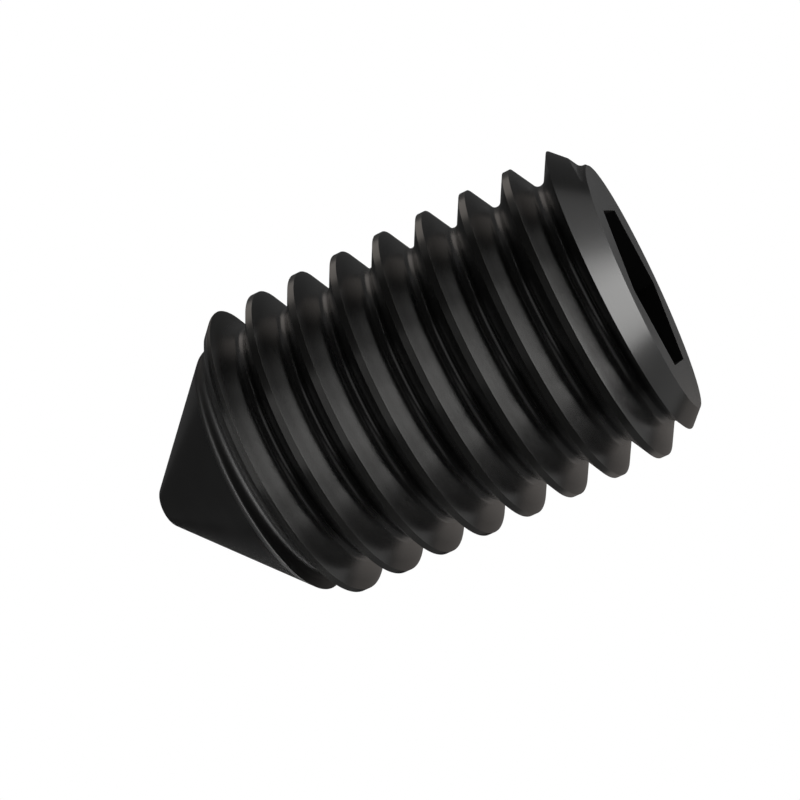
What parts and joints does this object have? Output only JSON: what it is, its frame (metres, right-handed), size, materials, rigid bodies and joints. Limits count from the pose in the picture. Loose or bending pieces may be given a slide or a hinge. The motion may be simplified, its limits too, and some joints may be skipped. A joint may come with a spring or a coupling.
{
  "type": "set screw",
  "caption": "Fully threaded grub screw with a hexagon socket in one end and a plain cone point on the other, standing on its socket end.",
  "frame": {"origin": "centre of the flat end face round the hexagon socket", "axes": "+Z along the screw's axis from the socket end to the cone point; two corners of the hexagon lie on the Y axis"},
  "size_m": [0.0118, 0.0118, 0.0201],
  "materials": {
    "black_oxide_steel": "satin black oxide on alloy steel"
  },
  "bodies": {
    "root": {"set_screw": "black_oxide_steel"}
  },
  "joints": []
}
